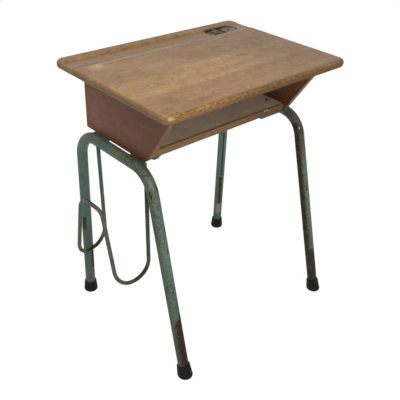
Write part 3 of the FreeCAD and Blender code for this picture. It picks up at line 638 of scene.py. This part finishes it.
def green_enamel(name, rust, tones, pale=(), glints=(), side_shade=1.0, low_rust=1.0):
    """Chipped green enamel with streaks of rust.

    tones are (centre, radii, colour, share) of other paint tones, pale and glints are (centre, radii)
    of pale paint and of painted highlights, the argument after glints is the share of painted shade on
    the front leg, and low_rust is the brightness of rust near the floor. Centres and radii are in
    millimetres.
    """
    paint = Recipe(name, specular=0.18)
    base = paint.mix(paint.rise(paint.noise(9.0, 3.0), 0.38, 0.62), GREEN, BLUE_GREEN)
    olive = paint.rise(paint.noise(14.0, 4.0, 0.6, (1, 1, 1), (4.0, 1.0, 2.0)), 0.50, 0.62)
    base = paint.cover(base, OLIVE, olive, 0.55)
    for centre, radii, tone, share in tones:
        base = paint.cover(base, tone, paint.patch(at(*centre), Vector(radii) / 1000, 0.9), share)
    base = paint.shade(base, paint.noise(42.0, 4.0, 0.7), 0.78, 1.18)
    base = paint.shade(base, paint.noise(230.0, 3.0, 0.7, (1, 1, 0.7), (2.0, 6.0, 1.0)), 0.78, 1.18)
    base = paint.shade(base, paint.rise(paint.z, 0.06, 0.42, 0.25, 0.75), 0.76, 1.0)
    base = leg_side_shade(paint, base, side_shade)
    for centre, radii in pale:
        base = paint.cover(base, PALE_PAINT, paint.patch(at(*centre), Vector(radii) / 1000, 0.8), 0.85)
    bare, fine = spotted(paint)
    bare = paint.times(bare, paint.rise_y(-70, 10, 0.85, 0.35))
    for start, end, radius in rust:
        bare = paint.larger(bare, paint.streak(at(*start), at(*end), radius / 1000, 0.8))
    base = paint.mix(bare, base, rusty_metal(paint, low_rust))
    # Painted highlights
    for centre, radii in glints:
        base = paint.cover(base, GLINT, paint.patch(at(*centre), Vector(radii) / 1000, 0.2), 0.8)
    roughness = paint.rise(bare, 0.0, 1.0, 0.40, 0.62)
    height = paint.maths("MULTIPLY_ADD", bare, -0.6, paint.times(fine, 0.25))
    return paint.finish(base, roughness, height, 0.35, 0.0004)


def left_enamel():
    """Enamel of the left leg frame and its plates."""
    tones = (
        ((-272, -112, 545), (16, 26, 22), OLIVE, 0.9),
        ((-272, -122, 512), (8, 8, 14), GREY_GREEN, 0.6),
        ((-258, -190, 330), (30, 70, 190), TEAL, 0.6),
        ((-262, 172, 280), (20, 20, 200), BLUE_GREEN, 0.7),
        ((-262, 170, 530), (40, 40, 45), GREY_GREEN, 0.35),
        ((-262, 150, 540), (30, 50, 30), OLIVE, 0.6),
        ((-262, -40, 545), (30, 60, 20), OLIVE, 0.5),
        ((-262, -250, 76), (30, 60, 64), SOOT_GREEN, 0.9),
        # Dark patch on the front plate under the side panel: painted shade
        ((-200, -70, 545), (60, 60, 8), DARK_GREY_OLIVE, 0.7),
    )
    return green_enamel("left_enamel", LEFT_RUST, tones, low_rust=0.82)


def right_enamel():
    """Enamel of the right leg frame and its plates."""
    tones = (
        ((262, -100, 520), (30, 60, 40), DULL_GREY, 0.8),
        ((262, -130, 455), (24, 32, 66), DULL_GREY, 0.9),
        ((262, 172, 300), (20, 20, 210), TEAL, 0.9),
        ((262, 175, 40), (20, 20, 22), BLUE_GREEN, 0.9),
        ((268, -190, 300), (30, 70, 160), GREY_GREEN, 0.3),
        ((232, -70, 546), (40, 80, 20), DARK_GREY_OLIVE, 0.5),
    )
    pale = (((254, 165, 80), (10, 10, 22)),)
    # Painted highlight on the front right bend
    glints = (((252, -129, 510), (2.8, 2.8, 11)),)
    return green_enamel("right_enamel", RIGHT_RUST, tones, pale, glints)


def rack_enamel():
    """Enamel of the satchel rack, darker than the frames."""
    tones = (
        ((-262, 70, 380), (12, 30, 160), BLUE_GREEN, 0.8),
        ((-310, 0, 340), (300, 300, 300), DARK_GREY_OLIVE, 0.40),
        ((-358, -5, 441), (16, 50, 14), HUMP_BROWN, 0.8),
    )
    return green_enamel("rack_enamel", RACK_RUST, tones, side_shade=0.4)


def black_rubber():
    """Scuffed black rubber, dusty near the floor."""
    paint = Recipe("black_rubber", specular=0.10)
    base = paint.shade(colour(23, 22, 21), paint.noise(60.0, 4.0, 0.6), 0.7, 1.35)
    dust = paint.times(paint.rise(paint.z, 0.0, 0.010, 1.0, 0.0),
                       paint.rise(paint.noise(120.0, 3.0), 0.45, 0.65))
    base = paint.cover(base, colour(70, 66, 60), dust, 0.3)
    roughness = paint.rise(paint.noise(80.0, 3.0), 0.3, 0.7, 0.5, 0.75)
    return paint.finish(base, roughness, paint.noise(500.0, 2.0), 0.15, 0.0003)


def zinc_steel():
    """Dull zinc-plated steel with tarnish blotches."""
    paint = Recipe("zinc_steel", metallic=0.85)
    blotch = paint.rise(paint.noise(160.0, 4.0, 0.65), 0.45, 0.62)
    base = paint.cover(colour(150, 148, 142), colour(78, 70, 60), blotch, 0.8)
    scratches = paint.noise(900.0, 2.0, 0.6, (0.15, 1.0, 1.0))
    base = paint.shade(base, scratches, 0.86, 1.12)
    return paint.finish(base, paint.rise(blotch, 0.0, 1.0, 0.45, 0.75), scratches, 0.15, 0.0002)


def inkwell_metal():
    """Worn grey-brown pressing, blackened where ink dried, with painted shade and a painted highlight."""
    paint = Recipe("inkwell_metal", metallic=0.1, specular=0.12)
    base = paint.shade(colour(98, 88, 66), paint.noise(70.0, 4.0), 0.75, 1.2)
    ink = paint.rise(paint.noise(60.0, 4.0, 0.65, (1, 1, 1), (2.0, 5.0, 0.0)), 0.42, 0.60)
    low = paint.rise(paint.z, TRAY_HIGH.z - 0.0016, TRAY_HIGH.z - 0.0008, 1.0, 0.0)
    base = paint.cover(base, colour(40, 36, 28), ink, low, 0.85)
    # Darker along the tray's rear and left end: painted shade
    behind = paint.larger(paint.rise(paint.y, TRAY_LINE[0].y + 0.015, TRAY_LINE[0].y + 0.022),
                          paint.rise(paint.x, TRAY_LINE[0].x - 0.023, TRAY_LINE[0].x - 0.015, 1.0, 0.0))
    base = paint.cover(base, colour(50, 44, 36), behind, 0.65)
    blended = paint.patch(at(222, 130, TRAY_Z), (0.034, 0.009, 0.02), 0.3)
    base = paint.cover(base, colour(148, 116, 90), blended, 0.8)
    # Pale spot on the tray's rear rim: a painted highlight of the lit far rim
    edge_mark = paint.patch(at(194, 171, TRAY_Z), (0.012, 0.005, 0.02), 0.3)
    base = paint.cover(base, colour(168, 158, 134), edge_mark, 0.6)
    # Near-black spot beside the cover's edge: painted shadow
    shadow_spot = paint.patch(at(191, 142, TRAY_Z), (0.0100, 0.0075, 0.02), 0.3)
    base = paint.cover(base, colour(18, 14, 12), shadow_spot, 0.95)
    roughness = paint.rise(ink, 0.0, 1.0, 0.4, 0.6)
    return paint.finish(base, roughness, paint.noise(300.0, 3.0), 0.2, 0.0002)


def cover_metal():
    """Worn grey-brown disc with green tarnish and a dark rear rim of painted shade."""
    paint = Recipe("cover_metal", metallic=0.2, specular=0.15)
    base = paint.shade(colour(108, 100, 80), paint.noise(90.0, 4.0), 0.74, 1.15)
    dark = paint.rise(paint.noise(140.0, 4.0, 0.7, (1, 1, 1), (1.0, 8.0, 0.0)), 0.54, 0.62)
    base = paint.cover(base, colour(62, 66, 50), dark, 0.6)
    low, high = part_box("inkwell_cover")
    middle = (low + high) / 2
    radius = (high.x - low.x) / 2
    from_middle = paint.vector("DISTANCE", paint.place, middle).outputs["Value"]
    # Dark rear rim of the disc: painted shade
    rim = paint.rise(from_middle, radius - 0.0045, radius - 0.002)
    behind = paint.rise(paint.y, middle.y, middle.y + 0.010)
    base = paint.cover(base, colour(40, 36, 32), rim, behind, 0.9)
    roughness = paint.rise(dark, 0.0, 1.0, 0.32, 0.6)
    return paint.finish(base, roughness, paint.noise(400.0, 3.0), 0.15, 0.0002)


def cup_bakelite():
    """Brown moulded cup, unevenly darkened."""
    paint = Recipe("cup_bakelite")
    faded = paint.rise(paint.noise(120.0, 4.0), 0.4, 0.6)
    base = paint.mix(faded, colour(104, 88, 60), colour(142, 124, 86))
    roughness = paint.rise(paint.noise(90.0, 3.0), 0.3, 0.7, 0.25, 0.55)
    return paint.finish(base, roughness, paint.noise(300.0, 3.0), 0.1, 0.0002)


# ---------------------------------------------------------------- weld beads

BEAD_SIDES = 8
# Shares of a bead's radius: what is left of it at its ends, and its lumps
BEAD_TIP = 0.45
BEAD_LUMPS = 0.16
LUMP_ANGLE = 2.1
# Beads along the plates: radius, distance from the flange's ends, over its lower edge and off the tube
PLATE_BEAD = 0.0016
PLATE_BEAD_INSET = 0.004
PLATE_BEAD_LIFT = 0.0005
PLATE_BEAD_PROUD = 0.0003
PLATE_BEAD_STEPS = 12
# The tube is looked for from this far inside the flange
RUN_UP = 0.003
# Beads round the rod's ends
ROD_BEAD = 0.0018
ROD_BEAD_STEPS = 18
ROD_RADIUS = 0.0050
# Distances from the middle of the desk, in millimetres
FLANGE_X = 246.0
TUBE_X = 260.5
# Ends of the rack's rod: name, a lower and an upper place on its line, in millimetres
ROD_ENDS = (
    ("front", (-TUBE_X, -101.0, 420), (-TUBE_X, -97.5, 533)),
    ("rear", (-TUBE_X, 91.3, 420), (-TUBE_X, 96.5, 533)),
)


def ring(centre, forward, radius, count):
    """Points of a circle of this radius round a line, once round, without the closing one."""
    first = forward.orthogonal().normalized()
    second = forward.cross(first)
    angles = [2 * math.pi * step / count for step in range(count)]
    return [centre + (math.cos(angle) * first + math.sin(angle) * second) * radius for angle in angles]


def bead_mesh(name, points, radius):
    """Lumpy bead of weld metal along a line of points, tapered to both ends."""
    vertices = []
    for index, point in enumerate(points):
        after = points[min(index + 1, len(points) - 1)]
        before = points[max(index - 1, 0)]
        end_share = min(index, len(points) - 1 - index, 2) / 2
        swell = BEAD_TIP + (1 - BEAD_TIP) * end_share
        lump = 1 + BEAD_LUMPS * math.sin(index * LUMP_ANGLE)
        vertices += ring(point, (after - before).normalized(), radius * swell * lump, BEAD_SIDES)
    faces = []
    for start in range(0, len(vertices) - BEAD_SIDES, BEAD_SIDES):
        for step in range(BEAD_SIDES):
            following = (step + 1) % BEAD_SIDES
            faces.append((start + step, start + following,
                          start + BEAD_SIDES + following, start + BEAD_SIDES + step))
    faces.append(tuple(reversed(range(BEAD_SIDES))))
    faces.append(tuple(range(len(vertices) - BEAD_SIDES, len(vertices))))
    mesh = bpy.data.meshes.new(name)
    mesh.from_pydata([tuple(vertex) for vertex in vertices], [], faces)
    mesh.shade_smooth()
    return mesh


def weld_bead(name, points, radius, material):
    """Bead as a piece of the desk."""
    mesh = bead_mesh(name, points, radius)
    mesh.materials.append(material)
    piece = bpy.data.objects.new(name, mesh)
    bpy.context.collection.objects.link(piece)
    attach(piece, "desk")


def surface_points(node, starts, direction):
    """Where rays from the starts first meet a node of the frame. Rays that miss it are left out."""
    casts = [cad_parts[node].ray_cast(start, direction) for start in starts]
    return [place for hit, place, _, _ in casts if hit]


def rod_weld(name, low, high, material):
    """Bead round an end of the rack's rod, which runs up from low to high into the left tube."""
    forward = (high - low).normalized()
    starts = ring(low, forward, ROD_RADIUS, ROD_BEAD_STEPS)
    points = surface_points("left_leg_frame", starts + starts[:1], forward)
    weld_bead(name, points, ROD_BEAD, material)


def plate_weld(hand, end, side, material):
    """Bead along the lower edge of a plate's flange, where it meets the tube. side is -1 or +1 in X."""
    low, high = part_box(f"{hand}_{end}_plate")
    outward = Vector((side, 0, 0))
    flange = at(side * FLANGE_X, 0, 0).x
    first = Vector((flange - side * RUN_UP, low.y + PLATE_BEAD_INSET, low.z + PLATE_BEAD_LIFT))
    run = Vector((0, high.y - low.y - 2 * PLATE_BEAD_INSET, 0))
    starts = [first + run * step / PLATE_BEAD_STEPS for step in range(PLATE_BEAD_STEPS + 1)]
    found = surface_points(f"{hand}_leg_frame", starts, outward)
    points = [place - outward * PLATE_BEAD_PROUD for place in found]
    weld_bead(f"{hand}_{end}_plate_weld", points, PLATE_BEAD, material)


# ---------------------------------------------------------------- dressing the frame's nodes

def dress(material, *names):
    """Gives the frame's nodes a material through their own slots."""
    for name in names:
        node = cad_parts[name]
        if not node.material_slots:
            node.data.materials.append(material)
        for slot in node.material_slots:
            slot.material = material


def dress_wood():
    """Materials of the top, the book case and the battens."""
    dress(top_wood(), "desk_top")
    for side, inward in (("left", 1), ("right", -1)):
        low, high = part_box(f"{side}_side_panel")
        dress(side_plywood(f"{side}_side_plywood", low, high, inward), f"{side}_side_panel")
    dress(shelf_plywood(), "shelf_panel")
    dress(thin_plywood(), "back_panel")
    dress(batten_wood("batten_wood_y", LONG_Y), "left_batten", "right_batten")
    dress(batten_wood("batten_wood_x", LONG_X), "rear_batten")


def dress_metal():
    """Materials of the metal, rubber and moulded pieces, and the weld beads."""
    left, right, rack = left_enamel(), right_enamel(), rack_enamel()
    dress(left, "left_leg_frame", "left_front_plate", "left_rear_plate")
    dress(right, "right_leg_frame", "right_front_plate", "right_rear_plate")
    dress(rack, "satchel_rack")
    dress(zinc_steel(), "fixing_bolts", "fixing_washers", "fixing_nuts", "batten_screws", "back_nails",
          "inkwell_screws")
    dress(black_rubber(), "left_front_foot", "left_rear_foot", "right_front_foot", "right_rear_foot")
    dress(inkwell_metal(), "inkwell_tray")
    dress(cover_metal(), "inkwell_cover", "cover_knob")
    dress(cup_bakelite(), "inkwell_cup")
    for hand, side, material in (("left", -1, left), ("right", 1, right)):
        for end in ("front", "rear"):
            plate_weld(hand, end, side, material)
    for end, low, high in ROD_ENDS:
        rod_weld(f"rack_{end}_weld", at(*low), at(*high), left)


# ---------------------------------------------------------------- camera, light and floor

AMBIENT = 0.40
FLOOR_HALF = 9.0
FLOOR_DROP = 0.0003
FLOOR_GREY = (0.86, 0.86, 0.86, 1)
FLOOR_WHITE = 1.15
SHADOW_SHARE = 0.2
LAMP_TARGET = (0.0, 0.0, 0.55)
# Lamps: name, place, size in metres and power in watts
LAMPS = (
    ("key", (-1.0, -1.4, 2.9), (1.3, 1.3), 14),
    ("front_fill", (-0.9, -2.9, 1.9), (1.6, 0.9), 60),
    ("left_fill", (-2.6, 0.6, 1.4), (1.6, 1.2), 6),
)


def make_camera():
    """The photograph's own view."""
    data = bpy.data.cameras.new("camera")
    data.lens = CAMERA_LENS
    data.sensor_width = CAMERA_SENSOR
    data.clip_end = CAMERA_RANGE
    camera = bpy.data.objects.new("camera", data)
    bpy.context.collection.objects.link(camera)
    forward = Vector((-math.sin(CAMERA_YAW) * math.cos(CAMERA_PITCH),
                      math.cos(CAMERA_YAW) * math.cos(CAMERA_PITCH), math.sin(CAMERA_PITCH)))
    level_right = Vector((math.cos(CAMERA_YAW), math.sin(CAMERA_YAW), 0))
    level_up = level_right.cross(forward)
    right = math.cos(CAMERA_ROLL) * level_right + math.sin(CAMERA_ROLL) * level_up
    up = right.cross(forward)
    turn = Matrix((right, up, -forward)).transposed().to_4x4()
    camera.matrix_world = Matrix.Translation(at(*CAMERA_PLACE)) @ turn
    bpy.context.scene.camera = camera


def area_light(name, place, size, power):
    """Rectangular lamp that shines at the middle of the desk."""
    data = bpy.data.lights.new(name, "AREA")
    data.shape = "RECTANGLE"
    data.size, data.size_y = size
    data.energy = power
    light = bpy.data.objects.new(name, data)
    light.location = place
    light.rotation_euler = (Vector(LAMP_TARGET) - Vector(place)).to_track_quat("-Z", "Y").to_euler()
    bpy.context.collection.objects.link(light)


def seen_rays(tree):
    """1 for rays from the camera, off a glossy surface or through glass, 0 for rays that only light."""
    path = tree.nodes.new("ShaderNodeLightPath")
    seen = path.outputs["Is Camera Ray"]
    for kind in ("Is Glossy Ray", "Is Transmission Ray"):
        either = tree.nodes.new("ShaderNodeMath")
        either.operation = "MAXIMUM"
        tree.links.new(seen, either.inputs[0])
        tree.links.new(path.outputs[kind], either.inputs[1])
        seen = either.outputs[0]
    return seen


def split_by_rays(tree, output_kind, lighting, shown):
    """Output node that takes one shader for rays that only light and the other for those that see."""
    mixer = tree.nodes.new("ShaderNodeMixShader")
    output = tree.nodes.new(output_kind)
    tree.links.new(seen_rays(tree), mixer.inputs[0])
    tree.links.new(lighting.outputs[0], mixer.inputs[1])
    tree.links.new(shown.outputs[0], mixer.inputs[2])
    tree.links.new(mixer.outputs[0], output.inputs["Surface"])


def background(tree, strength):
    """White background of this strength."""
    made = tree.nodes.new("ShaderNodeBackground")
    made.inputs["Color"].default_value = (1, 1, 1, 1)
    made.inputs["Strength"].default_value = strength
    return made


def make_world():
    """White where it is seen or mirrored, a plain soft light on the object."""
    world = bpy.data.worlds.new("studio")
    bpy.context.scene.world = world
    world.use_nodes = True
    tree = world.node_tree
    tree.nodes.clear()
    split_by_rays(tree, "ShaderNodeOutputWorld", background(tree, AMBIENT), background(tree, 1.0))


def floor_material():
    """Pale floor that is seen and mirrored as white, with a faint share of the object's shadow."""
    material = bpy.data.materials.new("pale_floor")
    material.use_nodes = True
    tree = material.node_tree
    tree.nodes.clear()
    pale = tree.nodes.new("ShaderNodeBsdfDiffuse")
    pale.inputs["Color"].default_value = FLOOR_GREY
    white = tree.nodes.new("ShaderNodeEmission")
    white.inputs["Strength"].default_value = FLOOR_WHITE
    shown = tree.nodes.new("ShaderNodeMixShader")
    shown.inputs[0].default_value = 1 - SHADOW_SHARE
    tree.links.new(pale.outputs[0], shown.inputs[1])
    tree.links.new(white.outputs[0], shown.inputs[2])
    split_by_rays(tree, "ShaderNodeOutputMaterial", pale, shown)
    return material


def make_floor():
    """Wide floor just under the feet."""
    mesh = bpy.data.meshes.new("floor")
    corners = [(FLOOR_HALF * x, FLOOR_HALF * y, 0) for x, y in ((-1, -1), (1, -1), (1, 1), (-1, 1))]
    mesh.from_pydata(corners, [], [(0, 1, 2, 3)])
    mesh.materials.append(floor_material())
    floor = bpy.data.objects.new("floor", mesh)
    floor.location.z = -FLOOR_DROP
    bpy.context.collection.objects.link(floor)


def make_studio():
    """World, lamps and floor."""
    bpy.context.scene.view_settings.view_transform = "Standard"
    make_world()
    for lamp in LAMPS:
        area_light(*lamp)
    make_floor()


dress_wood()
dress_metal()
make_camera()
make_studio()
